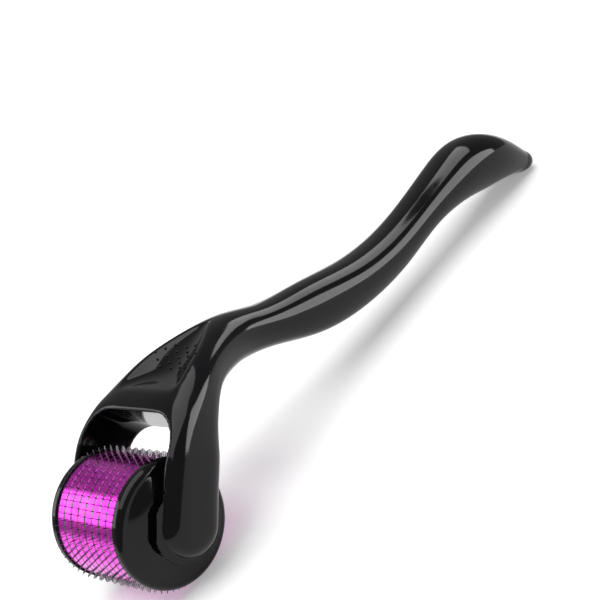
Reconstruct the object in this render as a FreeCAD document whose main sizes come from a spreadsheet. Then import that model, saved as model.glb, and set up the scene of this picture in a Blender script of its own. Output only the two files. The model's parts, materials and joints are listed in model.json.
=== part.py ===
"""Micro-needle skin roller: a needle drum turning in the fork of a moulded handle.

Everything is modelled in the handle's own frame first: the axle is the X axis, Z runs up
the fork arms and Y runs away from the drum along the grip.  The last step lays the whole
tool down the way it rests on a table, on the drum and on the tip of the grip.
"""
import FreeCAD, Part
import math
import os
import Sketcher

Vector = FreeCAD.Vector
X_AXIS = Vector(1, 0, 0)

# ---------------------------------------------------------------- driving sizes
DRUM_SIZES = {
    "needle_tip_radius": 12.4,
    "needle_root_half_width": 0.1,
    "needle_tip_half_width": 0.02,
    "needles_per_disc": 60,
    "disc_count": 9,
    "disc_thickness": 0.25,
    "ring_radius": 11.4,
    "ring_width": 1.95,
    "ring_chamfer": 0.12,
    "core_radius": 8.0,
    "core_bore": 6.0,
    "key_width": 1.6,
    "key_rise": 0.9,
    "fit_clearance": 0.05,
    "core_end_gap": 0.1,
}
CAP_SIZES = {
    "cap_radius": 11.75,
    "cap_band": 2.3,
    "cap_rim_round": 1.4,
    "cap_dome_rise": 1.65,
    "cap_nose_radius": 2.6,
    "spigot_length": 3.0,
    "stub_radius": 1.45,
    "stub_reach": 2.0,
}
FORK_SIZES = {
    "nose_gap": 0.35,
    "boss_rise": 0.3,
    "boss_radius": 2.6,
    "boss_slope": 1.2,
    "arm_thickness": 3.5,
    "arm_end_round": 3.2,
    "arm_end_length": 6.8,
    "socket_end_gap": 0.3,
    "window_corner": 6.5,
    "window_rise": 6.4,
    "window_slope": 21.0,
    "dish_length": 13.0,
    "dish_half_width": 12.0,
    "dish_depth": 2.2,
    "dish_shift": 3.0,
    "nub_radius": 0.45,
    "nub_pitch": 1.9,
    "nub_shift": 0.5,
    "trough_depth": 3.0,
    "trough_front_half_width": 10.4,
    "trough_back_half_width": 3.2,
    "trough_length": 17.0,
    "mark_radius": 2.1,
    "mark_width": 0.25,
    "mark_depth": 0.15,
    "mark_half_spacing": 6.5,
    "mark_step": 4.0,
    "tip_length": 4.2,
}
# Cross-sections of the handle: forward, height, slope, half width, half depth, squareness.
# Arm stations stand above the axle; all others stand above the top of the drum window.
# Arm and head stations give their half width as a step in from the outside of the fork.
ARM_STATIONS = {
    "axle": (0.8, 0.0, 88.0, 0.0, 7.0, 4.2),
    "arm": (1.25, 7.0, 84.6, 0.2, 6.9, 4.2),
}
HEAD_STATIONS = {
    "shoulder": (2.55, -4.8, 71.6, 1.2, 6.7, 4.2),
    "deck": (5.55, 1.3, 58.6, 3.2, 5.4, 3.4),
}
GRIP_STATIONS = {
    "thumb": (9.4, 6.4, 44.2, 11.2, 4.7, 2.8),
    "crest": (14.6, 10.1, 29.8, 8.4, 4.8, 2.4),
    "throat": (20.6, 13.0, 20.5, 6.3, 4.8, 2.2),
    "neck": (28.5, 15.2, 13.6, 5.5, 4.4, 2.2),
    "belly": (41.5, 18.9, 19.0, 6.1, 5.5, 2.2),
    "middle": (53.8, 24.2, 28.1, 6.3, 5.2, 2.2),
    "rise": (64.2, 31.0, 38.5, 5.9, 4.5, 2.2),
    "waist": (73.5, 39.2, 41.5, 5.8, 4.2, 2.2),
    "swell": (82.2, 46.2, 36.0, 6.6, 5.4, 2.2),
    "paddle": (90.2, 50.8, 20.1, 7.2, 6.4, 2.2),
    "tip": (97.5, 52.2, 3.3, 6.8, 5.0, 2.3),
    "bill": (103.5, 52.2, -1.7, 5.6, 2.9, 2.4),
}
STATION_FIELDS = ("forward", "height", "slope", "width", "depth", "squareness")
OUTLINE_POINTS = 32
END_RINGS = 6
NUB_ROWS = 1
NUBS_IN_MIDDLE_ROW = 4
SETTLE_STEPS = 4


def fill_sheet(doc):
    """Put every driving size into the spreadsheet, one aliased cell each."""
    sheet = doc.addObject("Spreadsheet::Sheet", "Sizes")
    rows = {**DRUM_SIZES, **CAP_SIZES, **FORK_SIZES}
    for name, fields in {**ARM_STATIONS, **HEAD_STATIONS, **GRIP_STATIONS}.items():
        for field, value in zip(STATION_FIELDS, fields):
            rows[f"{name}_{field}"] = value
    for row, (alias, value) in enumerate(rows.items(), start=1):
        sheet.set(f"A{row}", alias.replace("_", " "))
        sheet.set(f"B{row}", str(value))
        sheet.setAlias(f"B{row}", alias)
    doc.recompute()
    return sheet


def origin_part(body, role):
    """Return the origin plane or axis of a body that plays the given role."""
    return next(item for item in body.Origin.OriginFeatures if item.Role == role)


def new_sketch(body, name, role):
    """Start a sketch on one of the body's own origin planes."""
    sketch = body.newObject("Sketcher::SketchObject", name)
    sketch.AttachmentSupport = (origin_part(body, role), [""])
    sketch.MapMode = "FlatFace"
    return sketch


def add_circle(sketch, radius, expression):
    """Draw a circle about the sketch's origin with its radius bound to the sheet."""
    index = sketch.addGeometry(Part.Circle(Vector(), Vector(0, 0, 1), radius))
    sketch.addConstraint(Sketcher.Constraint("Coincident", index, 3, -1, 1))
    rule = sketch.addConstraint(Sketcher.Constraint("Radius", index, radius))
    sketch.setExpression(f"Constraints[{rule}]", expression)
    return index


def add_polygon(sketch, points):
    """Draw a closed polygon whose corners are bound to the sheet.

    Each point is a pair of expressions; the sheet gives their values."""
    sheet = sketch.Document.Sizes
    values = [tuple(float(sheet.evalExpression(text)) for text in pair) for pair in points]
    corners = [Vector(x, y, 0) for x, y in values]
    lines = []
    for start, end in zip(corners, corners[1:] + corners[:1]):
        lines.append(sketch.addGeometry(Part.LineSegment(start, end)))
    for line, after in zip(lines, lines[1:] + lines[:1]):
        sketch.addConstraint(Sketcher.Constraint("Coincident", line, 2, after, 1))
    for line, pair, value in zip(lines, points, values):
        for kind, text, number in zip(("DistanceX", "DistanceY"), pair, value):
            rule = sketch.addConstraint(Sketcher.Constraint(kind, -1, 1, line, 1, number))
            sketch.setExpression(f"Constraints[{rule}]", bound(text))
    return lines


def bound(text):
    """Turn a rule written with plain aliases into one that names the sheet."""
    words = []
    word = ""
    for letter in text + " ":
        if letter.isalnum() or letter == "_":
            word += letter
            continue
        if word[:1].isalpha() and word not in ("sin", "cos", "tan", "sqrt", "deg"):
            word = "Sizes." + word
        words.append(word + letter)
        word = ""
    return "".join(words).strip()


def pad(body, sketch, name, length):
    """Pad a sketch by a length bound to the sheet."""
    feature = body.newObject("PartDesign::Pad", name)
    feature.Profile = sketch
    feature.setExpression("Length", bound(length))
    return feature


def place_along_axle(body, rule):
    """Set a piece's place on the axle from a rule written with the sheet's names."""
    body.Placement = FreeCAD.Placement(Vector(body.Document.Sizes.evalExpression(rule), 0, 0),
                                       FreeCAD.Rotation())


def key_slots(body, name, reach, growth, depth):
    """Draw the two opposite key outlines about the axis and return their sketches."""
    half = f"key_width / 2 + {growth}"
    sketches = []
    for side, sign in (("top", ""), ("bottom", "-")):
        sketch = new_sketch(body, f"{name}_{side}", "YZ_Plane")
        outer = f"{sign}({reach})"
        inner = f"{sign}({depth})"
        add_polygon(sketch, [(f"-({half})", inner), (half, inner), (half, outer), (f"-({half})", outer)])
        sketches.append(sketch)
    return sketches


def make_core(doc):
    """The barrel that carries the rings: a tube with two full-length keys."""
    body = doc.addObject("PartDesign::Body", "drum_core")
    length = "disc_count * disc_thickness + (disc_count - 1) * ring_width - core_end_gap"
    ring = new_sketch(body, "barrel", "YZ_Plane")
    add_circle(ring, 1.0, bound("core_radius"))
    add_circle(ring, 0.5, bound("core_bore"))
    pad(body, ring, "barrel_pad", length)
    for sketch in key_slots(body, "key", "core_radius + key_rise", "0", "core_radius - key_rise"):
        pad(body, sketch, sketch.Name + "_pad", length)
    place_along_axle(body, f"-({length}) / 2")
    return body


def make_ring(doc, index):
    """One plated spacer ring between two needle discs."""
    body = doc.addObject("PartDesign::Body", f"spacer_ring_{index + 1}")
    ring = new_sketch(body, "ring", "YZ_Plane")
    add_circle(ring, 2.0, bound("ring_radius"))
    add_circle(ring, 1.0, bound("core_radius + fit_clearance"))
    pad(body, ring, "ring_pad", "ring_width")
    doc.recompute()
    cut_key_slots(body, "ring_width")
    chamfer_outer_edges(body)
    step = f"({index} - (disc_count - 2) / 2) * (ring_width + disc_thickness) - ring_width / 2"
    place_along_axle(body, step)
    return body


def cut_key_slots(body, length):
    """Cut the two keyways through a ring or a disc."""
    reach = "core_radius + key_rise + fit_clearance"
    for sketch in key_slots(body, "keyway", reach, "fit_clearance", "core_radius - key_rise"):
        pocket = body.newObject("PartDesign::Pocket", sketch.Name + "_pocket")
        pocket.Profile = sketch
        pocket.Reversed = True
        pocket.setExpression("Length", bound(length))


def chamfer_outer_edges(body):
    """Break both outer edges of a ring."""
    body.Document.recompute()
    sheet = body.Document.Sizes
    base = body.Tip
    names = []
    for number, edge in enumerate(base.Shape.Edges, start=1):
        if edge.Curve.TypeId == "Part::GeomCircle" and abs(edge.Curve.Radius - sheet.ring_radius) < 1e-6:
            names.append(f"Edge{number}")
    chamfer = body.newObject("PartDesign::Chamfer", "edge_break")
    chamfer.Base = (base, names)
    chamfer.setExpression("Size", bound("ring_chamfer"))


def make_disc(doc, index):
    """One thin steel disc with a row of needles round its rim."""
    body = doc.addObject("PartDesign::Body", f"needle_disc_{index + 1}")
    plate = new_sketch(body, "plate", "YZ_Plane")
    add_circle(plate, 2.0, bound("ring_radius"))
    add_circle(plate, 1.0, bound("core_radius + fit_clearance"))
    pad(body, plate, "plate_pad", "disc_thickness")
    doc.recompute()
    cut_key_slots(body, "disc_thickness")
    needle = new_sketch(body, "needle", "YZ_Plane")
    root = "ring_radius - needle_root_half_width"
    wide = "needle_root_half_width"
    fine = "needle_tip_half_width"
    tip = "needle_tip_radius"
    add_polygon(needle, [(f"-{wide}", root), (wide, root), (fine, tip), (f"-{fine}", tip)])
    needle_pad = pad(body, needle, "needle_pad", "disc_thickness")
    doc.recompute()
    row = body.newObject("PartDesign::PolarPattern", "needle_row")
    row.Originals = [needle_pad]
    row.Axis = (origin_part(body, "X_Axis"), [""])
    row.Angle = 360
    row.setExpression("Occurrences", bound("needles_per_disc"))
    body.Tip = row
    step = f"({index} - (disc_count - 1) / 2) * (ring_width + disc_thickness) - disc_thickness / 2"
    place_along_axle(body, step)
    return body


def stack_half(sheet):
    """Half the length of the clamped stack of discs and rings."""
    discs = sheet.disc_count * sheet.disc_thickness
    rings = (sheet.disc_count - 1) * sheet.ring_width
    return (discs + rings) / 2


def fork_inner(sheet):
    """Distance from the middle to the inner face of a fork arm."""
    nose = stack_half(sheet) + sheet.cap_band + sheet.cap_dome_rise
    return nose + sheet.nose_gap + sheet.boss_rise


def fork_outer(sheet):
    """Distance from the middle to the outside of a fork arm."""
    return fork_inner(sheet) + sheet.arm_thickness


def make_cap(doc, name, side):
    """One end cap: rim band, domed face, axle stub and the spigot that plugs the core."""
    sheet = doc.Sizes
    inner = stack_half(sheet)
    rim = inner + sheet.cap_band
    nose = rim + sheet.cap_dome_rise
    stub_end = fork_inner(sheet) + sheet.stub_reach
    bore = sheet.core_bore - sheet.fit_clearance
    turn = sheet.cap_rim_round
    dome_foot = sheet.cap_radius - turn
    mid = Vector(rim + sheet.cap_dome_rise * 0.62, (dome_foot + sheet.cap_nose_radius) / 2, 0)
    outline = [
        Part.LineSegment(Vector(inner - sheet.spigot_length, 0, 0), Vector(inner - sheet.spigot_length, bore, 0)),
        Part.LineSegment(Vector(inner - sheet.spigot_length, bore, 0), Vector(inner, bore, 0)),
        Part.LineSegment(Vector(inner, bore, 0), Vector(inner, sheet.cap_radius, 0)),
        Part.LineSegment(Vector(inner, sheet.cap_radius, 0), Vector(rim - turn, sheet.cap_radius, 0)),
        Part.Arc(Vector(rim - turn, sheet.cap_radius, 0),
                 Vector(rim - turn + turn * math.sin(math.pi / 4),
                        dome_foot + turn * math.cos(math.pi / 4), 0),
                 Vector(rim, dome_foot, 0)),
        Part.Arc(Vector(rim, dome_foot, 0), mid, Vector(nose, sheet.cap_nose_radius, 0)),
        Part.LineSegment(Vector(nose, sheet.cap_nose_radius, 0), Vector(nose, sheet.stub_radius, 0)),
        Part.LineSegment(Vector(nose, sheet.stub_radius, 0), Vector(stub_end, sheet.stub_radius, 0)),
        Part.LineSegment(Vector(stub_end, sheet.stub_radius, 0), Vector(stub_end, 0, 0)),
        Part.LineSegment(Vector(stub_end, 0, 0), Vector(inner - sheet.spigot_length, 0, 0)),
    ]
    wire = Part.Wire([piece.toShape() for piece in outline])
    solid = Part.Face(wire).revolve(Vector(), X_AXIS, 360)
    if side < 0:
        solid = solid.mirror(Vector(), X_AXIS)
    cap = doc.addObject("Part::Feature", name)
    cap.Shape = Part.Solid(solid.Shells[0])
    return cap


def window_top(sheet):
    """Height of the drum window's ceiling above the axle."""
    return sheet.needle_tip_radius + sheet.window_rise


def station(sheet, name):
    """Read one handle station: middle point, slope, half width, half depth, squareness."""
    values = [float(getattr(sheet, f"{name}_{field}")) for field in STATION_FIELDS]
    if name not in ARM_STATIONS:
        values[1] += window_top(sheet)
    if name not in GRIP_STATIONS:
        values[3] = fork_outer(sheet) - values[3]
    return values


def outline_half(place, side):
    """Smooth curve over (side 1) or under (side -1) the handle at one station."""
    forward, height, slope, width, depth, square = place
    lean = math.radians(slope)
    rise = Vector(0, -math.sin(lean), math.cos(lean)) * side
    steps = OUTLINE_POINTS // 2
    points = []
    for index in range(steps + 1):
        turn = math.pi * index / steps
        size = (abs(math.cos(turn)) ** square + math.sin(turn) ** square) ** (-1 / square)
        middle = Vector(width * side * math.cos(turn) * size, forward, height)
        points.append(middle + rise * (depth * math.sin(turn) * size))
    pull = rise * (math.pi * depth)
    curve = Part.BSplineCurve()
    curve.interpolate(Points=points, Parameters=[index / steps for index in range(steps + 1)],
                      InitialTangent=pull, FinalTangent=pull * -1)
    return curve.toShape()


def section_outline(place):
    """Closed smooth outline of the handle at one station."""
    return Part.Wire([outline_half(place, side) for side in (1, -1)])


def arm_end_places(sheet, first):
    """Shrinking stations that round off the bottom of the fork arms."""
    places = []
    for ring in range(END_RINGS, 0, -1):
        turn = math.radians(80) * ring / END_RINGS
        place = list(first)
        place[1] = -sheet.arm_end_length * math.sin(turn)
        place[3] = first[3] - sheet.arm_end_round * (1 - math.cos(turn))
        place[4] = first[4] * math.cos(turn)
        places.append(place)
    return places


def tip_places(sheet, last):
    """Shrinking stations that round off the free end of the grip."""
    places = []
    lean = math.radians(last[2])
    for ring in range(1, END_RINGS + 1):
        turn = math.radians(80) * ring / END_RINGS
        run = sheet.tip_length * math.sin(turn)
        place = list(last)
        place[0] = last[0] + run * math.cos(lean)
        place[1] = last[1] + run * math.sin(lean)
        place[3] = last[3] * math.cos(turn)
        place[4] = last[4] * math.cos(turn)
        places.append(place)
    return places


def handle_blank(sheet):
    """The handle before anything is cut from it: one smooth skin through all stations."""
    names = [*ARM_STATIONS, *HEAD_STATIONS, *GRIP_STATIONS]
    places = [station(sheet, name) for name in names]
    places = arm_end_places(sheet, places[0]) + places + tip_places(sheet, places[-1])
    return Part.makeLoft([section_outline(place) for place in places], True, False)


def window_cutter(sheet):
    """The space for the drum between the arms, with rounded top corners."""
    half = fork_inner(sheet)
    corner = sheet.window_corner
    slope = math.radians(sheet.window_slope)
    reach = 3 * sheet.needle_tip_radius
    start = Vector(0, -reach / 2, 0)
    rise = math.tan(slope) * reach / 2
    low = -reach
    bend = corner * math.sin(math.pi / 4)
    level = window_top(sheet) + rise
    corners = [Vector(-half, 0, low), Vector(half, 0, low), Vector(half, 0, level - corner),
               Vector(half - corner, 0, level), Vector(corner - half, 0, level),
               Vector(-half, 0, level - corner)]
    right = Vector(half - corner + bend, 0, level - corner + bend)
    left = Vector(corner - half - bend, 0, level - corner + bend)
    edges = [
        Part.LineSegment(corners[0], corners[1]),
        Part.LineSegment(corners[1], corners[2]),
        Part.Arc(corners[2], right, corners[3]),
        Part.LineSegment(corners[3], corners[4]),
        Part.Arc(corners[4], left, corners[5]),
        Part.LineSegment(corners[5], corners[0]),
    ]
    face = Part.Face(Part.Wire([edge.toShape() for edge in edges]))
    face.translate(start)
    return face.extrude(Vector(0, reach, -math.tan(slope) * reach))


def head_frame(sheet, name, over):
    """Placement on the handle's skin: X across, Y along the grip, Z out of the skin."""
    forward, height, slope, _, depth, _ = station(sheet, name)
    lean = math.radians(slope)
    base = Vector(0, forward - math.sin(lean) * depth * over, height + math.cos(lean) * depth * over)
    return FreeCAD.Placement(base, FreeCAD.Rotation(X_AXIS, slope))


def ellipsoid(long_half, wide_half, deep_half):
    """An ellipsoid about the origin, long along Y."""
    ball = Part.makeSphere(1.0)
    stretch = FreeCAD.Matrix()
    stretch.scale(wide_half, long_half, deep_half)
    return ball.transformGeometry(stretch)


def dish_cutter(sheet):
    """The thumb rest: an oval hollow across the crest of the head."""
    tool = ellipsoid(sheet.dish_length, sheet.dish_half_width, sheet.dish_depth * 2)
    tool.translate(Vector(0, sheet.dish_shift, sheet.dish_depth))
    tool.Placement = head_frame(sheet, "thumb", 1).multiply(tool.Placement)
    return tool


def trough_cutter(sheet):
    """The hollow in the underside of the head, tapering towards the grip."""
    front = sheet.trough_front_half_width
    back = sheet.trough_back_half_width
    length = sheet.trough_length
    corners = [Vector(-front, 0, 0), Vector(front, 0, 0), Vector(back, length, 0), Vector(-back, length, 0)]
    face = Part.Face(Part.makePolygon(corners + corners[:1]))
    tool = face.extrude(Vector(0, 0, 4 * sheet.trough_depth))
    tool.translate(Vector(0, -length / 2, -3 * sheet.trough_depth))
    frame = head_frame(sheet, "crest", -1)
    tool.Placement = frame.multiply(tool.Placement)
    return tool


def arm_boss(sheet, side):
    """The low conical boss round the axle socket on the inside of one arm."""
    face = fork_inner(sheet)
    base = sheet.boss_radius + sheet.boss_slope
    cone = Part.makeCone(sheet.boss_radius, base, sheet.boss_rise,
                         Vector(face - sheet.boss_rise, 0, 0), X_AXIS)
    return cone if side > 0 else cone.mirror(Vector(), X_AXIS)


def arm_socket(sheet, side):
    """The blind bore that the axle stub turns in."""
    face = fork_inner(sheet)
    radius = sheet.stub_radius + sheet.fit_clearance
    start = face - sheet.boss_rise
    depth = sheet.boss_rise + sheet.stub_reach + sheet.socket_end_gap
    bore = Part.makeCylinder(radius, depth, Vector(start, 0, 0), X_AXIS)
    return bore if side > 0 else bore.mirror(Vector(), X_AXIS)


def nubs(sheet):
    """Small grip nubs in staggered rows on the floor of the thumb rest."""
    frame = head_frame(sheet, "thumb", 1)
    balls = []
    for row in range(-NUB_ROWS, NUB_ROWS + 1):
        count = NUBS_IN_MIDDLE_ROW - abs(row)
        along = row * sheet.nub_pitch * math.sqrt(3) / 2 + sheet.nub_shift
        for place in range(count):
            across = (place - (count - 1) / 2) * sheet.nub_pitch
            run = along - sheet.dish_shift
            spread = (across / sheet.dish_half_width) ** 2 + (run / sheet.dish_length) ** 2
            floor = sheet.dish_depth * (1 - 2 * math.sqrt(1 - spread))
            ball = Part.makeSphere(sheet.nub_radius, frame.multVec(Vector(across, along, floor)))
            balls.append(ball)
    return balls


def ejector_marks(sheet):
    """Two shallow round witness lines on the floor of the underside hollow."""
    frame = head_frame(sheet, "crest", -1)
    rings = []
    for side in (-1, 1):
        centre = Vector(side * sheet.mark_half_spacing, sheet.mark_step - sheet.trough_length / 2,
                        sheet.trough_depth - sheet.mark_depth)
        outer = Part.makeCylinder(sheet.mark_radius, 2 * sheet.mark_depth, centre)
        inner = Part.makeCylinder(sheet.mark_radius - sheet.mark_width, 2 * sheet.mark_depth, centre)
        ring = outer.cut(inner)
        ring.Placement = frame.multiply(ring.Placement)
        rings.append(ring)
    return rings


def make_handle(doc):
    """The one-piece moulded handle with its fork, thumb rest and underside hollow."""
    sheet = doc.Sizes
    solid = handle_blank(sheet)
    solid = solid.cut(window_cutter(sheet))
    solid = solid.cut(dish_cutter(sheet))
    solid = solid.cut(trough_cutter(sheet))
    solid = solid.cut(ejector_marks(sheet))
    solid = solid.fuse(nubs(sheet))
    solid = solid.fuse([arm_boss(sheet, side) for side in (-1, 1)])
    solid = solid.cut([arm_socket(sheet, side) for side in (-1, 1)])
    handle = doc.addObject("Part::Feature", "handle")
    handle.Shape = solid
    return handle


def lean_to_rest(sheet, handle):
    """Angle that lays the tool on its needle tips and on the tip of the grip."""
    last = station(sheet, list(GRIP_STATIONS)[-1])
    reach = math.hypot(last[0], last[1])
    lean = math.degrees(math.atan2(last[1], last[0]))
    for _ in range(SETTLE_STEPS):
        laid = handle.Shape.copy()
        laid.rotate(Vector(), X_AXIS, -lean)
        gap = laid.optimalBoundingBox(False).ZMin + sheet.needle_tip_radius
        lean += math.degrees(math.asin(gap / reach))
    return lean


def lay_down(sheet, parts, handle):
    """Move every piece from the handle's frame to the resting position."""
    lean = lean_to_rest(sheet, handle)
    turn = FreeCAD.Rotation(X_AXIS, -lean)
    laid = handle.Shape.copy()
    laid.rotate(Vector(), X_AXIS, -lean)
    far = laid.optimalBoundingBox(False).YMax
    middle = (far - sheet.needle_tip_radius) / 2
    rest = FreeCAD.Placement(Vector(0, -middle, sheet.needle_tip_radius), turn)
    for part in parts:
        part.Placement = rest.multiply(part.Placement)
    print("lean", round(lean, 3), "axle at", rest.Base)


def check_and_export(doc, parts):
    """Refuse a failed model; write one file per piece."""
    for item in doc.Objects:
        if "Invalid" in item.State or "Error" in item.State:
            raise RuntimeError(f"{item.Name} failed: {item.State}")
    os.makedirs("parts", exist_ok=True)
    for part in parts:
        shape = part.Shape
        if shape.isNull() or not shape.isValid() or len(shape.Solids) != 1:
            raise RuntimeError(f"{part.Label} is not one valid solid")
        shape.exportStep(f"parts/{part.Label}.step")


def main():
    doc = FreeCAD.newDocument("SkinRoller")
    sheet = fill_sheet(doc)
    parts = [make_core(doc)]
    parts += [make_ring(doc, index) for index in range(int(sheet.disc_count) - 1)]
    parts += [make_disc(doc, index) for index in range(int(sheet.disc_count))]
    parts += [make_cap(doc, "left_end_cap", -1), make_cap(doc, "right_end_cap", 1)]
    handle = make_handle(doc)
    parts.append(handle)
    doc.recompute()
    lay_down(sheet, parts, handle)
    doc.recompute()
    check_and_export(doc, parts)


main()
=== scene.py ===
"""Micro-needle skin roller: finished surfaces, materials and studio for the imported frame."""
import json
import math

import bpy
import numpy as np
from bpy.props import FloatProperty, FloatVectorProperty, PointerProperty
from mathutils import Matrix, Vector


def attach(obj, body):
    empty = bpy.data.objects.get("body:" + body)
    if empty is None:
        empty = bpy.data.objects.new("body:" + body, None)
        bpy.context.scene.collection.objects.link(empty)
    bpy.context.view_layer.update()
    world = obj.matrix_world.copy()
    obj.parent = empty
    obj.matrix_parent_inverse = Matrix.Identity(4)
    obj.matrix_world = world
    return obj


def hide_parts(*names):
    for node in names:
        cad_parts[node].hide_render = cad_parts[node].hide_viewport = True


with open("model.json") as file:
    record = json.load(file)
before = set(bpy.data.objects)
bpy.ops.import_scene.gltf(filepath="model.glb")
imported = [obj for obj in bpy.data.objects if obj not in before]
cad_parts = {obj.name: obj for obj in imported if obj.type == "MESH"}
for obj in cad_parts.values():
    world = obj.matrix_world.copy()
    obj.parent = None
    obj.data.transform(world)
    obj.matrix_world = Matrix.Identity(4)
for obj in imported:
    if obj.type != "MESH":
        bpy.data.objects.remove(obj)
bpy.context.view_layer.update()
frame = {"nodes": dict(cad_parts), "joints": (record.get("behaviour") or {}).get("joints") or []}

bl_info = {
    "name": "Skin roller",
    "version": (1, 0, 0),
    "blender": (4, 5, 0),
    "location": "3D View > Sidebar > Skin roller",
    "description": "Builds the handle, drum finishes and studio of a micro-needle skin roller",
    "category": "Add Mesh",
}

MM = 0.001

# The axle's middle at rest, and the lean from the fork's own frame to the way the tool lies.
AXLE = Vector(frame["joints"][0]["pos_m"])
LEAN = math.radians(38.515)
REST_TURN = np.array(Matrix.Rotation(-LEAN, 3, "X"))

# Cross-sections of the handle in the fork's frame, in millimetres: forward, height above the
# axle, half width, half depth, squareness of the outline.
STATIONS = {
    "axle": (0.8, 0.0, 17.0, 7.0, 4.2),
    "arm": (1.25, 7.0, 16.8, 6.9, 4.2),
    "shoulder": (2.55, 14.0, 15.8, 6.7, 4.2),
    "deck": (5.55, 20.1, 13.8, 5.4, 3.4),
    "thumb": (9.4, 25.2, 11.2, 4.7, 2.8),
    "crest": (14.6, 28.9, 8.4, 4.8, 2.4),
    "throat": (20.6, 31.8, 6.3, 4.8, 2.2),
    "neck": (28.5, 34.0, 5.5, 4.4, 2.2),
    "belly": (41.5, 37.7, 6.1, 5.5, 2.2),
    "middle": (53.8, 43.0, 6.3, 5.2, 2.2),
    "rise": (64.2, 49.8, 5.9, 4.5, 2.2),
    "waist": (73.5, 58.0, 5.8, 4.2, 2.2),
    "swell": (82.2, 65.0, 6.6, 5.4, 2.2),
    "paddle": (90.2, 69.6, 7.2, 6.4, 2.2),
    "tip": (97.5, 71.0, 6.8, 5.0, 2.3),
    "bill": (103.5, 71.0, 5.6, 2.9, 2.4),
}

# The box, in the fork's frame, that the handle's skin is looked for in.
FIELD_LOW = (-18.5, -6.5, -8.5)
FIELD_HIGH = (18.5, 110.0, 79.0)
SNAP_PASSES = 3
LEAST_PULL = 0.05

# The search for a point's foot on the spine: samples, Newton steps and the least rate of change.
FOOT_SAMPLES = 160
FOOT_PASSES = 4
LEAST_RATE = 0.2

# Small floors that keep powers and divisions finite; they do not move the skin.
TINY = 1e-6
LEAST_RING = 1e-4
LEAST_SUM = 1e-9
LEAST_VALUE = 1e-3
LEAST_SLOPE = 0.02
LEAST_TAPER = 0.05
WIDEST_SHARE = 0.98

# Lengths over which creases of the handle are rounded, in millimetres; the bank's is a share.
DISH_BLEND = 0.45
BANK_BLEND = 0.5
TROUGH_BLEND = 0.8
LIP_BLEND = 0.3
BOSS_BLEND = 0.2
SOCKET_BLEND = 0.15

# The hollow's floor rises towards its back: gain with the share left, and what stays at the end.
TROUGH_GAIN = 1.6
TROUGH_REMAINS = 0.1
# The lip starts this high above the axle and reaches its full size this much further up.
LIP_START = 9
LIP_CLIMB = 9
NO_BEVEL = -5.0
# The axle boss: its flared foot, the softening of that steep flare, and its root inside the arm.
BOSS_FLARE = 1.2
BOSS_SOFTENING = 0.5
BOSS_ROOT = 1
# Nubs stay inside a shape this many pitches wide that narrows away from the middle row.
NUB_SPAN = 2.2
NUB_TAPER = 0.8
MARK_TUBE = 0.16
CAP_EDGE = 0.12

FLOOR_HALF_M = 3
PAPER_GLOW = 0.3
WORLD_LIGHT = 0.3
# Soft lights in the fork's frame, in millimetres: middle, aim, width and height, brightness.
OVERHEAD = ("overhead", (0, -685, 858), (0, 0, 0), (1300, 1300), 2.6)
# These only draw highlights in the gloss.
HIGHLIGHTS = (
    ("grip_strip", (2, 77, 150), (2, 77, 0), (64, 32), 4.6),
    ("side_panel", (200, 170, 175), (0, 170, 175), (240, 230), 8.0),
    ("front_fill", (-330, -290, 60), (0, 30, 20), (280, 220), 2.6),
)
CAMERA_PLACE = (208.89, -144.89, 36.9)
CAMERA_AZIMUTH = math.radians(48.61)
CAMERA_ELEVATION = math.radians(0.46)
CAMERA_ROLL = math.radians(-0.405)
CAMERA_LENS = 84
CAMERA_SENSOR = 36


def linear(hex_colour):
    """sRGB hex colour to linear red, green, blue."""
    parts = [int(hex_colour[i:i + 2], 16) / 255 for i in (0, 2, 4)]
    return tuple(c / 12.92 if c <= 0.04045 else ((c + 0.055) / 1.055) ** 2.4 for c in parts)


def millimetres(label, note, value):
    """A size on the panel, in millimetres."""
    return FloatProperty(name=label, description=note + ", mm", default=value)


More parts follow.
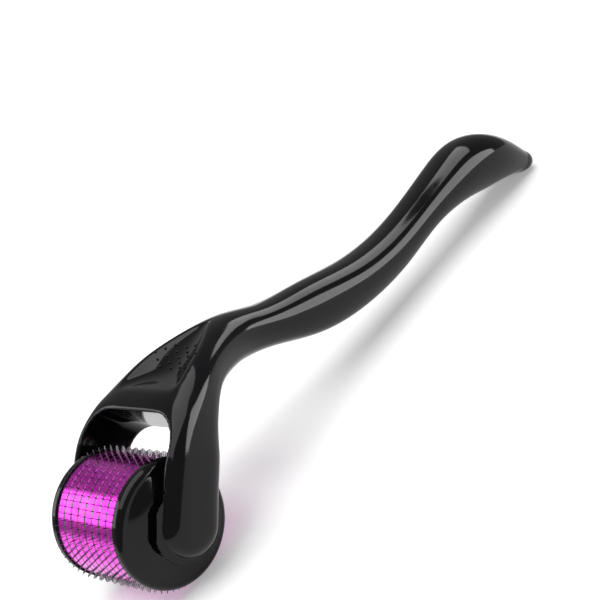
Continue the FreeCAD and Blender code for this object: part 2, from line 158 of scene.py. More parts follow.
class RollerSizes(bpy.types.PropertyGroup):
    """Sizes of the moulded handle, in millimetres unless the name says otherwise."""

    grid_step: millimetres("Mesh spacing", "Spacing of the handle's mesh", 0.42)
    arm_end: millimetres("Arm end", "Reach of the arm ends below the axle", 6.8)
    tip_end: millimetres("Grip end", "Rounded length beyond the last section", 4.2)
    window_half: millimetres("Window half width", "Middle to an arm's inner face", 13.525)
    window_top: millimetres("Window top", "Ceiling of the drum window above the axle", 18.8)
    window_slope: FloatProperty(name="Window slope", subtype="ANGLE", default=math.radians(21),
                                description="Fall of the ceiling towards the grip")
    window_corner: millimetres("Window corner", "Radius of the window's top corners", 6.5)
    edge_round: millimetres("Edge rounding", "Rounding of moulded edges", 0.9)
    lip_height: millimetres("Lip height", "Height of the flat lip over the drum", 1.9)
    lip_depth: millimetres("Lip depth", "How far the lip is set back at its foot", 0.45)
    arm_bevel: millimetres("Arm bevel", "Broken edge down the inside of each arm", 0.45)
    dish_start: millimetres("Dish start", "Spine length at the thumb rest's front edge", 20.9)
    dish_length: millimetres("Dish length", "Length of the thumb rest to its point", 17.0)
    dish_width: millimetres("Dish half width", "Half width of the thumb rest at its front", 8.8)
    dish_depth: millimetres("Dish depth", "Depth of the thumb rest", 2.7)
    dish_bank: millimetres("Dish bank", "Length of the bank at the front of the thumb rest", 4.5)
    trough_start: millimetres("Hollow start", "Spine length at the underside hollow's front", 26.2)
    trough_end: millimetres("Hollow end", "Spine length at the underside hollow's back", 42.0)
    trough_front: millimetres("Hollow front", "Half width of the hollow at its front", 8.6)
    trough_back: millimetres("Hollow back", "Half width of the hollow at its back", 2.6)
    trough_depth: millimetres("Hollow depth", "Depth of the underside hollow", 2.4)
    boss_radius: millimetres("Boss radius", "Top radius of the axle boss", 2.6)
    boss_rise: millimetres("Boss rise", "Height of the axle boss", 0.3)
    socket_radius: millimetres("Socket radius", "Radius of the axle socket", 1.5)
    socket_depth: millimetres("Socket depth", "Depth of the axle socket in the arm", 2.3)
    stack_half: millimetres("Stack half length", "Middle to the inner face of an end cap", 8.925)
    cap_radius: millimetres("Cap radius", "Radius of an end cap", 11.75)
    cap_band: millimetres("Cap band", "Width of an end cap to the foot of its dome", 2.3)
    cap_round: millimetres("Cap rounding", "Rounding of the cap's rim", 1.4)
    cap_dome: millimetres("Cap dome", "Rise of the cap's shallow dome", 1.65)
    nose_radius: millimetres("Nose radius", "Radius of the flat nose round the stub", 2.6)
    stub_radius: millimetres("Stub radius", "Radius of the axle stub", 1.45)
    stub_end: millimetres("Stub end", "Middle to the end of the axle stub", 15.525)
    nub_radius: millimetres("Nub radius", "Radius of a grip nub", 0.3)
    nub_pitch: millimetres("Nub pitch", "Spacing of the grip nubs across", 3.1)
    nub_row: millimetres("Nub rows", "Spacing of the rows of nubs", 1.15)
    nub_place: millimetres("Nub place", "Spine length at the middle row of nubs", 29.2)
    mark_radius: millimetres("Mark radius", "Radius of an ejector mark", 2.1)
    mark_spread: millimetres("Mark spread", "Middle to an ejector mark", 6.5)
    mark_place: millimetres("Mark place", "Spine length at the ejector marks", 23.7)


def finish_colour(label, note, value):
    """A colour on the panel, from its sRGB hex value."""
    return FloatVectorProperty(name=label, description=note, subtype="COLOR",
                               default=linear(value))


class RollerColours(bpy.types.PropertyGroup):
    """Base colours of the finishes."""

    black: finish_colour("Black ABS", "Colour of the black mouldings", "070709")
    magenta: finish_colour("Magenta lacquer", "Colour of the plated rings", "f048dc")
    magenta_deep: finish_colour("Deep magenta", "Colour where the lacquer pools", "d62cc6")
    steel: finish_colour("Needle steel", "Colour of the needle discs", "8c868c")
    steel_dull: finish_colour("Dull steel", "Colour of stains on the discs", "4c464e")
    floor: finish_colour("Paper", "Colour of the studio floor", "fafafa")


# ------------------------------------------------------------------ shape of the handle
class Spine:
    """Natural cubic spline through the stations, by chord length.

    Between neighbouring stations each value is a cubic whose second derivative runs in a
    straight line from one station to the next and is zero at both ends of the handle."""

    def __init__(self, table):
        self.values = np.array(table, float)
        chords = np.hypot(*np.diff(self.values[:, :2], axis=0).T)
        self.at = np.concatenate([[0.0], np.cumsum(chords)])
        count = len(self.at)
        system = np.eye(count)
        right = np.zeros_like(self.values)
        inner = np.arange(1, count - 1)
        before, after = chords[:-1], chords[1:]
        system[inner, inner - 1] = before
        system[inner, inner] = 2 * (before + after)
        system[inner, inner + 1] = after
        slopes = np.diff(self.values, axis=0) / chords[:, None]
        right[1:-1] = 6 * np.diff(slopes, axis=0)
        self.bend = np.linalg.solve(system, right)

    def __call__(self, where, order=0):
        """Values (or their first or second derivatives) at these lengths along the spine."""
        cell = np.clip(np.searchsorted(self.at, where) - 1, 0, len(self.at) - 2)
        size = (self.at[cell + 1] - self.at[cell])[..., None]
        left = (where - self.at[cell])[..., None]
        rest = size - left
        low, high = self.values[cell], self.values[cell + 1]
        bend_low, bend_high = self.bend[cell], self.bend[cell + 1]
        if order == 2:
            return (bend_low * rest + bend_high * left) / size
        chord_low = low / size - bend_low * size / 6
        chord_high = high / size - bend_high * size / 6
        if order == 1:
            swing = (bend_high * left ** 2 - bend_low * rest ** 2) / (2 * size)
            return swing - chord_low + chord_high
        cubic = (bend_low * rest ** 3 + bend_high * left ** 3) / (6 * size)
        return cubic + chord_low * rest + chord_high * left


def foot_on_spine(spine, y, z):
    """Length along the spine of its nearest point: the nearest of many samples, then Newton
    steps on (point - spine) . tangent = 0, kept between the two ends."""
    samples = np.linspace(0, spine.at[-1], FOOT_SAMPLES)
    places = spine(samples)
    nearest = np.full(y.shape, np.inf)
    foot = np.zeros(y.shape)
    for sample, place in zip(samples, places):
        gap = (y - place[0]) ** 2 + (z - place[1]) ** 2
        closer = gap < nearest
        nearest = np.where(closer, gap, nearest)
        foot = np.where(closer, sample, foot)
    for _ in range(FOOT_PASSES):
        place, tangent, turn = spine(foot), spine(foot, 1), spine(foot, 2)
        dy, dz = y - place[..., 0], z - place[..., 1]
        error = dy * tangent[..., 0] + dz * tangent[..., 1]
        rate = (dy * turn[..., 0] + dz * turn[..., 1]
                - tangent[..., 0] ** 2 - tangent[..., 1] ** 2)
        foot = np.clip(foot - error / np.minimum(rate, -LEAST_RATE), 0, spine.at[-1])
    return foot


def smooth_max(a, b, reach):
    """The larger of two distances, with the crease between them rounded over a length."""
    blend = np.clip(0.5 + 0.5 * (a - b) / reach, 0, 1)
    return b + (a - b) * blend + reach * blend * (1 - blend)


def spine_frame(y, z, spine):
    """Each point's foot on the spine, the values there, its height over the spine and its run
    along it beyond the foot, which is nought except past the spine's ends."""
    foot = foot_on_spine(spine, y, z)
    place, tangent = spine(foot), spine(foot, 1)
    length = np.hypot(tangent[..., 0], tangent[..., 1])
    ty, tz = tangent[..., 0] / length, tangent[..., 1] / length
    dy, dz = y - place[..., 0], z - place[..., 1]
    return foot, place, dz * ty - dy * tz, dy * ty + dz * tz


def body_distance(x, where, spine, sizes):
    """Distance to the uncut handle.

    Across the spine the outline is |x/w|^p + r^p = 1, where r combines the depth n/d with the
    run past an end t/L as their hypotenuse; the value less one, over its slope, is a length."""
    foot, place, over, along = where
    past_tip = np.maximum(along, 0) * (foot >= spine.at[-1] - TINY) / sizes.tip_end
    past_arm = np.maximum(-along, 0) * (foot <= TINY) / sizes.arm_end
    run = past_tip + past_arm
    reach = np.where(past_arm > 0, sizes.arm_end, sizes.tip_end)
    width, depth, square = place[..., 2], place[..., 3], place[..., 4]
    across = np.abs(x) / width
    deep = np.abs(over) / depth
    ring = np.maximum(np.hypot(deep, run), LEAST_RING)
    value = np.maximum(across ** square + ring ** square, LEAST_SUM) ** (1 / square)
    rise_x = across ** (square - 1) / width
    rise_r = ring ** (square - 2) * np.hypot(deep / depth, run / reach)
    slope = np.hypot(rise_x, rise_r) * np.maximum(value, LEAST_VALUE) ** (1 - square)
    return (value - 1) / np.maximum(slope, LEAST_SLOPE)


def window_distance(x, y, z, sizes):
    """Distance to the drum window: a wide slot with round top corners and a sloping ceiling."""
    slope = sizes.window_slope
    up = (z + math.tan(slope) * y - sizes.window_top) * math.cos(slope)
    corner = sizes.window_corner
    side = np.abs(x) - sizes.window_half + corner
    top = up + corner
    outside = np.hypot(np.maximum(side, 0), np.maximum(top, 0))
    return outside + np.minimum(np.maximum(side, top), 0) - corner


def dish_floor(x, foot, place, sizes):
    """Height of the thumb rest's floor over the spine.

    With u the share of the length behind the front edge, the floor lies under the skin by
    depth * (1 - u^2 - (x / w)^2 / (1 - u^2)), a leaf that ends in a point, and a straight bank
    brings it up to the skin at the front; the lesser of the two depths holds, blended."""
    width, depth, square = place[..., 2], place[..., 3], place[..., 4]
    across = np.minimum(np.abs(x) / width, WIDEST_SHARE)
    skin = depth * (1 - across ** square) ** (1 / square)
    share = np.clip((foot - sizes.dish_start) / sizes.dish_length, 0, 3)
    taper = 1 - share ** 2
    leaf = taper - (x / sizes.dish_width) ** 2 / np.maximum(taper, LEAST_TAPER)
    bank = (foot - sizes.dish_start) / sizes.dish_bank
    sunk = -smooth_max(-np.clip(leaf, -2, 2), -np.clip(bank, -2, 2), BANK_BLEND)
    return skin - sizes.dish_depth * sunk


def trough_distance(x, where, sizes):
    """Distance to the hollow under the head: a flat-floored wedge that narrows along the grip."""
    foot, place, over, _ = where
    share = np.clip((foot - sizes.trough_start) / (sizes.trough_end - sizes.trough_start), 0, 1)
    side = np.abs(x) - (sizes.trough_front + (sizes.trough_back - sizes.trough_front) * share)
    filled = np.minimum(1, TROUGH_GAIN * (1 - share) + TROUGH_REMAINS)
    floor = over + place[..., 3] - sizes.trough_depth * filled
    ends = np.maximum(sizes.trough_start - foot, foot - sizes.trough_end)
    return smooth_max(smooth_max(side, floor, TROUGH_BLEND), ends, TROUGH_BLEND)


def lip_distance(body, window, over, z, sizes):
    """Distance to the bevel round the front of the window.

    The cut reaches h up the skin from the window's edge and k into the window's wall, so it
    holds 1 - window / h + body / k > 0; both grow from the arm's broken edge to the lip."""
    rise = np.clip((z - LIP_START) / LIP_CLIMB, 0, 1) ** 2
    height = sizes.arm_bevel + (sizes.lip_height - sizes.arm_bevel) * rise
    depth = sizes.arm_bevel + (sizes.lip_depth - sizes.arm_bevel) * rise
    bevel = (1 - window / height + body / depth) / np.hypot(1 / height, 1 / depth)
    return np.where(over > 0, bevel, NO_BEVEL)


def handle_distance(x, y, z, spine, sizes):
    """Distance to the finished handle: the body less the window and the hollows."""
    where = spine_frame(y, z, spine)
    body = body_distance(x, where, spine, sizes)
    window = window_distance(x, y, z, sizes)
    dish = where[2] - dish_floor(x, where[0], where[1], sizes)
    shape = smooth_max(body, dish, DISH_BLEND)
    shape = smooth_max(shape, -trough_distance(x, where, sizes), sizes.edge_round)
    shape = smooth_max(shape, -window, sizes.edge_round)
    shape = smooth_max(shape, lip_distance(body, window, where[2], z, sizes), LIP_BLEND)
    radius = np.hypot(y, z)
    face = sizes.window_half - np.abs(x)
    flare = BOSS_FLARE * (1 - face / sizes.boss_rise)
    boss = np.maximum(radius - sizes.boss_radius - flare, face - sizes.boss_rise)
    boss = np.maximum(boss * BOSS_SOFTENING, -face - BOSS_ROOT)
    shape = -smooth_max(-shape, -boss, BOSS_BLEND)
    socket = np.maximum(radius - sizes.socket_radius, -face - sizes.socket_depth)
    return smooth_max(shape, -socket, SOCKET_BLEND)


def surface_net(field, origin, step):
    """Closed quads round the zero level of a distance grid.

    Each cell that the surface crosses gets one point, the mean of the crossings on its edges;
    each grid edge that the surface crosses gets one quad through the four cells round it."""
    inside = field < 0
    corners = [(i, j, k) for i in (0, 1) for j in (0, 1) for k in (0, 1)]
    size = [n - 1 for n in field.shape]

    def shifted(grid, corner):
        return grid[tuple(slice(c, c + n) for c, n in zip(corner, size))]

    count = sum(shifted(inside, corner).astype(np.int8) for corner in corners)
    mixed = (count > 0) & (count < 8)
    cells = np.argwhere(mixed)
    number = np.full(size, -1, np.int64)
    number[mixed] = np.arange(len(cells))
    total = np.zeros((len(cells), 3))
    hits = np.zeros(len(cells))
    for corner in corners:
        for axis in range(3):
            if corner[axis]:
                continue
            other = list(corner)
            other[axis] = 1
            near = shifted(field, corner)[mixed]
            far = shifted(field, tuple(other))[mixed]
            cross = (near < 0) != (far < 0)
            share = np.where(cross, near / np.where(cross, near - far, 1), 0)
            point = np.tile(np.array(corner, float), (len(cells), 1))
            point[:, axis] += share
            total += point * cross[:, None]
            hits += cross
    points = origin + (cells + total / hits[:, None]) * step
    quads = []
    for axis in range(3):
        one, two = [a for a in range(3) if a != axis]
        low = [slice(1, -1)] * 3
        high = [slice(1, -1)] * 3
        low[axis], high[axis] = slice(0, -1), slice(1, None)
        first, second = inside[tuple(low)], inside[tuple(high)]
        edges = np.argwhere(first != second)
        facing = first[tuple(edges.T)]
        base = edges.copy()
        base[:, one] += 1
        base[:, two] += 1
        ring = []
        for da, db in ((1, 1), (0, 1), (0, 0), (1, 0)):
            cell = base.copy()
            cell[:, one] -= da
            cell[:, two] -= db
            ring.append(number[tuple(cell.T)])
        quad = np.stack(ring, 1)
        flip = facing if axis == 1 else ~facing
        quad[flip] = quad[flip][:, ::-1]
        quads.append(quad)
    return points, np.concatenate(quads)


def to_rest(points):
    """Fork frame in millimetres to the resting frame in metres."""
    return points * MM @ REST_TURN.T + np.array(AXLE)


def add_mesh(name, points, faces, normals=None):
    """A smooth-shaded mesh object from arrays of points and faces."""
    mesh = bpy.data.meshes.new(name)
    mesh.from_pydata(points, [], faces.tolist())
    mesh.shade_smooth()
    if normals is not None:
        mesh.normals_split_custom_set_from_vertices(normals)
    piece = bpy.data.objects.new(name, mesh)
    bpy.context.scene.collection.objects.link(piece)
    return piece


def handle_mesh(sizes):
    """Points, quads and exact normals of the handle's skin, in the fork's frame.

    The left half of the distance grid is worked out and mirrored; the net's points then move
    along the distance's gradient until they lie on its zero level."""
    spine = Spine(list(STATIONS.values()))
    step = sizes.grid_step
    low = np.array(FIELD_LOW)
    x, y, z = [np.arange(a, b, step) for a, b in zip(FIELD_LOW, FIELD_HIGH)]
    half = x[x <= 0]
    x = np.concatenate([half - half[-1], -(half - half[-1])[-2::-1]])
    low[0] = x[0]
    flat_y, flat_z = np.meshgrid(y, z, indexing="ij")
    left = handle_distance(x[:len(half), None, None], flat_y[None], flat_z[None], spine, sizes)
    field = np.concatenate([left, left[-2::-1]])
    points, quads = surface_net(field, low, step)

    def distance(p):
        return handle_distance(p[:, 0], p[:, 1], p[:, 2], spine, sizes)

    def gradient(p, reach=0.02):
        pull = np.empty_like(p)
        for axis in range(3):
            shift = np.zeros(3)
            shift[axis] = reach
            pull[:, axis] = (distance(p + shift) - distance(p - shift)) / (2 * reach)
        return pull

    for _ in range(SNAP_PASSES):
        pull = gradient(points)
        move = distance(points) / np.maximum((pull ** 2).sum(1), LEAST_PULL)
        points -= pull * np.clip(move, -step / 2, step / 2)[:, None]
    pull = gradient(points)
    return points, quads, pull / np.linalg.norm(pull, axis=1)[:, None]


def on_dish(x, foot, sizes):
    """Points on the thumb rest's floor at these distances across and along the spine."""
    spine = Spine(list(STATIONS.values()))
    place, tangent = spine(foot), spine(foot, 1)
    tangent = tangent[:, :2] / np.linalg.norm(tangent[:, :2], axis=1)[:, None]
    normal = np.stack([-tangent[:, 1], tangent[:, 0]], 1)
    floor = dish_floor(x, foot, place, sizes)
    return np.column_stack([x, place[:, :2] + normal * floor[:, None]])


def grid_faces(rows, columns, count):
    """Quads over a rows x columns grid whose columns close into a ring, repeated count times."""
    i, j = np.meshgrid(np.arange(rows - 1), np.arange(columns), indexing="ij")
    here, beside = i * columns + j, i * columns + (j + 1) % columns
    faces = np.stack([here, beside, beside + columns, here + columns], -1).reshape(-1, 4)
    return (faces[None] + (np.arange(count) * rows * columns)[:, None, None]).reshape(-1, 4)


def nub_mesh(sizes):
    """Grip nubs: low domes in staggered rows on the thumb rest's floor.

    Each nub is a ball of radius r about a point of the floor: r (cos a sin b, sin a sin b, cos b),
    with its two poles closed by rings of no size."""
    places = np.arange(-2, 3)
    row, column = [grid.ravel() for grid in np.meshgrid(places, places, indexing="ij")]
    x = (column + 0.5 * (row % 2)) * sizes.nub_pitch
    foot = sizes.nub_place + row * sizes.nub_row
    keep = np.abs(x) < NUB_SPAN * sizes.nub_pitch - np.abs(foot - sizes.nub_place) * NUB_TAPER
    centres = on_dish(x[keep], foot[keep], sizes)
    around = np.linspace(0, 2 * math.pi, 16, endpoint=False)
    down = np.linspace(0, math.pi, 9)[:, None]
    ball = np.stack([np.cos(around) * np.sin(down), np.sin(around) * np.sin(down),
                     np.cos(down) + 0 * around], -1).reshape(-1, 3)
    points = centres[:, None] + ball[None] * sizes.nub_radius
    faces = grid_faces(len(down), len(around), len(centres))[:, ::-1]
    return points.reshape(-1, 3), faces


def cap_mesh(sizes, side):
    """End cap: a profile (distance out along the axle, radius) turned round the axle.

    The profile runs over the rim band, round the rim by a quarter circle, up the shallow dome
    by a quarter sine, across the nose and along the axle stub, with close points at corners."""
    rim = sizes.stack_half + sizes.cap_band
    nose = rim + sizes.cap_dome
    turn = np.linspace(0, math.pi / 2, 13)
    foot = sizes.cap_radius - sizes.cap_round
    climb = np.linspace(0, 1, 25)[1:]
    edge = CAP_EDGE
    out = np.concatenate([
        [sizes.stack_half] * 3, [sizes.stack_half + edge, sizes.stack_half + 2 * edge],
        rim - sizes.cap_round + sizes.cap_round * np.sin(turn),
        rim + sizes.cap_dome * np.sin(climb * math.pi / 2),
        [nose] * 3, [sizes.stub_end - edge, sizes.stub_end, sizes.stub_end]])
    radius = np.concatenate([
        [0, sizes.cap_radius - 2 * edge, sizes.cap_radius - edge], [sizes.cap_radius] * 2,
        foot + sizes.cap_round * np.cos(turn),
        foot + (sizes.nose_radius - foot) * climb,
        [sizes.nose_radius - edge, sizes.stub_radius + edge, sizes.stub_radius],
        [sizes.stub_radius, sizes.stub_radius - edge, 0]])
    around = np.linspace(0, 2 * math.pi, 144, endpoint=False)
    points = np.stack([side * out[:, None] + 0 * around, radius[:, None] * np.cos(around),
                       radius[:, None] * np.sin(around)], -1).reshape(-1, 3)
    faces = grid_faces(len(out), len(around), 1)
    return points, faces[:, ::-1] if side > 0 else faces


def mark_mesh(sizes):
    """Ejector marks: two thin raised rings on the flat behind the window.

    Each is a torus of radius R and tube t: (R + t cos b)(cos a, sin a) with height t sin b,
    laid in the plane of the underside at its place on the spine."""
    spine = Spine(list(STATIONS.values()))
    foot = np.array([sizes.mark_place])
    place, tangent = spine(foot)[0], spine(foot, 1)[0, :2]
    tangent = tangent / np.linalg.norm(tangent)
    turns, sides = 64, 10
    around = np.linspace(0, 2 * math.pi, turns, endpoint=False)[:, None]
    across = np.linspace(0, 2 * math.pi, sides, endpoint=False)
    radius = sizes.mark_radius + MARK_TUBE * np.cos(across)
    flat_x, flat_s = radius * np.cos(around), radius * np.sin(around)
    lift = MARK_TUBE * np.sin(across) + 0 * around
    rings = []
    for side in (-1, 1):
        x = flat_x + side * sizes.mark_spread
        fall = place[3] * (1 - (np.abs(x) / place[2]) ** place[4]) ** (1 / place[4])
        over = -(fall + lift)
        y = place[0] + flat_s * tangent[0] - over * tangent[1]
        z = place[1] + flat_s * tangent[1] + over * tangent[0]
        rings.append(np.stack([x, y, z], -1).reshape(-1, 3))
    i, j = np.meshgrid(np.arange(turns), np.arange(sides), indexing="ij")
    next_i, next_j = (i + 1) % turns, (j + 1) % sides
    faces = np.stack([i * sides + j, i * sides + next_j, next_i * sides + next_j,
                      next_i * sides + j], -1).reshape(-1, 4)
    return np.concatenate(rings), np.concatenate([faces, faces + len(rings[0])])


# ------------------------------------------------------------------ materials
def add_node(tree, kind, links=(), **settings):
    """Add a node, set its properties or sockets by name, and link sockets into it."""
    node = tree.nodes.new("ShaderNode" + kind)
    for key, value in settings.items():
        socket = node.inputs.get(key.replace("_", " ").title())
        if socket is not None:
            socket.default_value = value
        else:
            setattr(node, key, value)
    for socket, source in links:
        tree.links.new(source, node.inputs[socket])
    return node


def new_material(name, **sockets):
    """A node material with its shader's sockets set, and its object coordinates."""
    material = bpy.data.materials.new(name)
    material.use_nodes = True
    tree = material.node_tree
    tree.nodes.clear()
    shader = tree.nodes.new("ShaderNodeBsdfPrincipled")
    output = tree.nodes.new("ShaderNodeOutputMaterial")
    tree.links.new(shader.outputs["BSDF"], output.inputs["Surface"])
    for key, value in sockets.items():
        shader.inputs[key.replace("_", " ")].default_value = value
    place = tree.nodes.new("ShaderNodeTexCoord").outputs["Object"]
    return material, tree, shader, place


def mottle(tree, place, size_mm, detail):
    """Noise whose lumps are this many millimetres across."""
    noise = add_node(tree, "TexNoise", [("Vector", place)], scale=1 / (size_mm * MM), detail=detail)
    return noise.outputs["Fac"]


def spread(tree, source, low, high, start=0.35, end=0.65):
    """Noise stretched from its usual range to run from low to high."""
    return add_node(tree, "MapRange", [("Value", source)], from_min=start, from_max=end,
                    to_min=low, to_max=high).outputs["Result"]


def scaled(colour, factor):
    """A colour made darker or lighter by a factor."""
    return tuple(value * factor for value in colour)


def tint(tree, source, first, second, start=0.35, end=0.65):
    """Two colours mixed by a pattern."""
    ramp = add_node(tree, "ValToRGB", [("Fac", source)])
    ramp.color_ramp.elements[0].position = start
    ramp.color_ramp.elements[0].color = (*first, 1)
    ramp.color_ramp.elements[1].position = end
    ramp.color_ramp.elements[1].color = (*second, 1)
    return ramp.outputs["Color"]


def relief(tree, shader, height, depth_mm, before=None):
    """Bump of this depth in millimetres, on top of an earlier one."""
    links = [("Height", height)] + ([("Normal", before)] if before else [])
    bump = add_node(tree, "Bump", links)
    bump.inputs["Strength"].default_value = 1.0
    bump.inputs["Distance"].default_value = depth_mm * MM
    tree.links.new(bump.outputs["Normal"], shader.inputs["Normal"])
    return bump.outputs["Normal"]


def gloss_abs(colour):
    """Black ABS from a polished mould: a deep gloss, the faint waviness of shrinkage over thick
    walls, a fine polish texture and a trace of handling haze."""
    material, tree, shader, place = new_material("gloss_black_abs", IOR=1.5, Specular_IOR_Level=0.22)
    haze = mottle(tree, place, 14, 5)
    warm = scaled(colour, 1.7)
    tree.links.new(tint(tree, haze, colour, warm), shader.inputs["Base Color"])
    tree.links.new(spread(tree, mottle(tree, place, 5, 6), 0.05, 0.12), shader.inputs["Roughness"])
    waves = relief(tree, shader, mottle(tree, place, 9, 1), 0.03)
    relief(tree, shader, mottle(tree, place, 0.5, 3), 0.0012, waves)
    return material


def plated_ring(colour, deep):
    """Vacuum-metallised plastic under magenta lacquer: mirror-like, with fine turned lines round
    the ring and lacquer that pools darker in patches."""
    material, tree, shader, place = new_material("magenta_metallised_plastic", Metallic=1.0)
    pools = mottle(tree, place, 3.5, 3)
    tree.links.new(tint(tree, pools, deep, colour), shader.inputs["Base Color"])
    tree.links.new(spread(tree, mottle(tree, place, 1.2, 4), 0.14, 0.26), shader.inputs["Roughness"])
    # turned lines 0.32 mm apart along the axle, as coarse as they need to show
    lines = add_node(tree, "TexWave", [("Vector", place)], bands_direction="X",
                     scale=1 / (6.28 * 0.32 * MM), distortion=0.6, detail=1.0)
    turned = relief(tree, shader, lines.outputs["Fac"], 0.003)
    relief(tree, shader, mottle(tree, place, 2.2, 2), 0.02, turned)
    return material


def needle_steel(colour, dull):
    """Stainless sheet etched to shape: satin grey, with a fine etched grain and darker stains."""
    material, tree, shader, place = new_material("etched_stainless_sheet", Metallic=1.0)
    stain = mottle(tree, place, 1.4, 4)
    tree.links.new(tint(tree, stain, dull, colour), shader.inputs["Base Color"])
    tree.links.new(spread(tree, mottle(tree, place, 0.4, 3), 0.22, 0.4), shader.inputs["Roughness"])
    relief(tree, shader, mottle(tree, place, 0.15, 2), 0.002)
    return material


def core_plastic(colour):
    """Dark moulded ABS of the hidden barrel: satin, with a fine spark-eroded grain."""
    material, tree, shader, place = new_material("satin_black_abs", IOR=1.5)
    warm = scaled(colour, 2)
    tree.links.new(tint(tree, mottle(tree, place, 6, 4), colour, warm), shader.inputs["Base Color"])
    tree.links.new(spread(tree, mottle(tree, place, 1, 4), 0.35, 0.5), shader.inputs["Roughness"])
    relief(tree, shader, mottle(tree, place, 0.25, 3), 0.01)
    return material


def paper_floor(colour):
    """White studio paper: matt, with a barely visible fibre and a glow that keeps it white."""
    material, tree, shader, place = new_material("white_studio_paper", Roughness=0.95)
    shader.inputs["Specular IOR Level"].default_value = 0.1
    shader.inputs["Emission Color"].default_value = (1, 1, 1, 1)
    shader.inputs["Emission Strength"].default_value = PAPER_GLOW
    shade = scaled(colour, 0.99)
    tree.links.new(tint(tree, mottle(tree, place, 3, 4), shade, colour), shader.inputs["Base Color"])
    relief(tree, shader, mottle(tree, place, 0.8, 3), 0.01)
    return material


def paint(piece, material):
    """Give every slot of a piece one material."""
    if not piece.material_slots:
        piece.data.materials.append(material)
    for place in piece.material_slots:
        place.material = material


# ------------------------------------------------------------------ studio
def fork_to_rest():
    """The transform from the fork's frame, in metres, to the resting frame."""
    return Matrix.Translation(AXLE) @ Matrix.Rotation(-LEAN, 4, "X")


def camera_placement():
    """Camera in the fork's frame, level with the drum, then laid over with the tool."""
    turn = (Matrix.Rotation(CAMERA_AZIMUTH, 4, "Z")
            @ Matrix.Rotation(math.pi / 2 + CAMERA_ELEVATION, 4, "X")
            @ Matrix.Rotation(CAMERA_ROLL, 4, "Z"))
    return fork_to_rest() @ Matrix.Translation(Vector(CAMERA_PLACE) * MM) @ turn


def softbox(context, name, place, aim, size, brightness):
    """A rectangular soft light, placed and aimed in the fork's frame and hidden from the camera.

    Its power is pi * area * brightness, so that it is seen in gloss at that brightness."""
    light = bpy.data.lights.new(name, "AREA")
    light.shape = "RECTANGLE"
    light.size, light.size_y = size[0] * MM, size[1] * MM
    light.energy = math.pi * light.size * light.size_y * brightness
    lamp = bpy.data.objects.new(name, light)
    context.scene.collection.objects.link(lamp)
    turn = (Vector(aim) - Vector(place)).to_track_quat("-Z", "Y").to_matrix().to_4x4()
    lamp.matrix_world = fork_to_rest() @ Matrix.Translation(Vector(place) * MM) @ turn
    lamp.visible_camera = False
    return lamp


# ------------------------------------------------------------------ operators
class ROLLER_OT_handle(bpy.types.Operator):
    """Build the moulded handle's skin in place of its plain solid"""
    bl_idname = "roller.handle"
    bl_label = "Handle"

    def execute(self, context):
        sizes = context.scene.roller_sizes
        points, quads, normals = handle_mesh(sizes)
        piece = add_mesh("handle_moulding", to_rest(points), quads, normals @ REST_TURN.T)
        black = gloss_abs(context.scene.roller_colours.black)
        paint(piece, black)
        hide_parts("handle")
        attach(piece, "handle")
        details = (("thumb_rest_nubs", nub_mesh(sizes)), ("ejector_marks", mark_mesh(sizes)))
        for name, (points, faces) in details:
            piece = add_mesh(name, to_rest(points), faces)
            paint(piece, black)
            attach(piece, "handle")
        return {"FINISHED"}


class ROLLER_OT_drum(bpy.types.Operator):
    """Finish the drum's caps, rings and needle discs"""
    bl_idname = "roller.drum"
    bl_label = "Drum"

    def execute(self, context):
        colours = context.scene.roller_colours
        black = gloss_abs(colours.black)
        magenta = plated_ring(colours.magenta, colours.magenta_deep)
        steel = needle_steel(colours.steel, colours.steel_dull)
        core = core_plastic(colours.black)
        for name, node in frame["nodes"].items():
            if name.startswith("spacer_ring"):
                paint(node, magenta)
            elif name.startswith("needle_disc"):
                paint(node, steel)
            elif name == "drum_core":
                paint(node, core)
        for node, side in (("left_end_cap", -1), ("right_end_cap", 1)):
            points, faces = cap_mesh(context.scene.roller_sizes, side)
            piece = add_mesh(node + "_moulding", to_rest(points), faces)
            paint(piece, black)
            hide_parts(node)
            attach(piece, "drum")
        return {"FINISHED"}


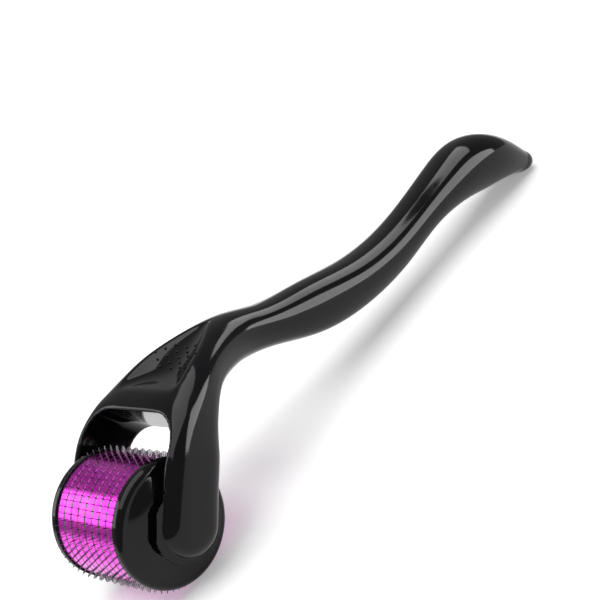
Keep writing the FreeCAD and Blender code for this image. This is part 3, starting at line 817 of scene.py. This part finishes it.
class ROLLER_OT_stage(bpy.types.Operator):
    """Set up the floor, the soft lights and the camera"""
    bl_idname = "roller.stage"
    bl_label = "Studio"

    def execute(self, context):
        corners = np.array([(-1, -1, 0), (1, -1, 0), (1, 1, 0), (-1, 1, 0)], float)
        floor = add_mesh("floor", corners * FLOOR_HALF_M, np.array([(0, 1, 2, 3)]))
        paint(floor, paper_floor(context.scene.roller_colours.floor))
        context.scene.view_settings.view_transform = "Standard"
        world = bpy.data.worlds.new("studio")
        world.use_nodes = True
        sky = world.node_tree.nodes["Background"]
        sky.inputs["Color"].default_value = (1, 1, 1, 1)
        sky.inputs["Strength"].default_value = WORLD_LIGHT
        context.scene.world = world
        softbox(context, *OVERHEAD)
        for highlight in HIGHLIGHTS:
            softbox(context, *highlight).visible_diffuse = False
        camera = bpy.data.objects.new("camera", bpy.data.cameras.new("camera"))
        context.scene.collection.objects.link(camera)
        camera.data.lens = CAMERA_LENS
        camera.data.sensor_width = CAMERA_SENSOR
        camera.matrix_world = camera_placement()
        context.scene.camera = camera
        return {"FINISHED"}


class ROLLER_PT_panel(bpy.types.Panel):
    """Lists the roller's pieces and the studio in the sidebar"""
    bl_idname = "ROLLER_PT_panel"
    bl_label = "Skin roller"
    bl_space_type = "VIEW_3D"
    bl_region_type = "UI"
    bl_category = "Skin roller"

    def draw(self, context):
        for operator in OPERATORS:
            self.layout.operator(operator.bl_idname)


OPERATORS = (ROLLER_OT_handle, ROLLER_OT_drum, ROLLER_OT_stage)
CLASSES = (RollerSizes, RollerColours, *OPERATORS, ROLLER_PT_panel)


def register():
    """Add the classes and the panel's settings."""
    for item in CLASSES:
        bpy.utils.register_class(item)
    bpy.types.Scene.roller_sizes = PointerProperty(type=RollerSizes)
    bpy.types.Scene.roller_colours = PointerProperty(type=RollerColours)


def unregister():
    """Take the settings and the classes away again."""
    del bpy.types.Scene.roller_colours
    del bpy.types.Scene.roller_sizes
    for item in reversed(CLASSES):
        bpy.utils.unregister_class(item)


def main():
    """Build everything."""
    register()
    bpy.ops.roller.handle()
    bpy.ops.roller.drum()
    bpy.ops.roller.stage()


if __name__ == "__main__":
    main()
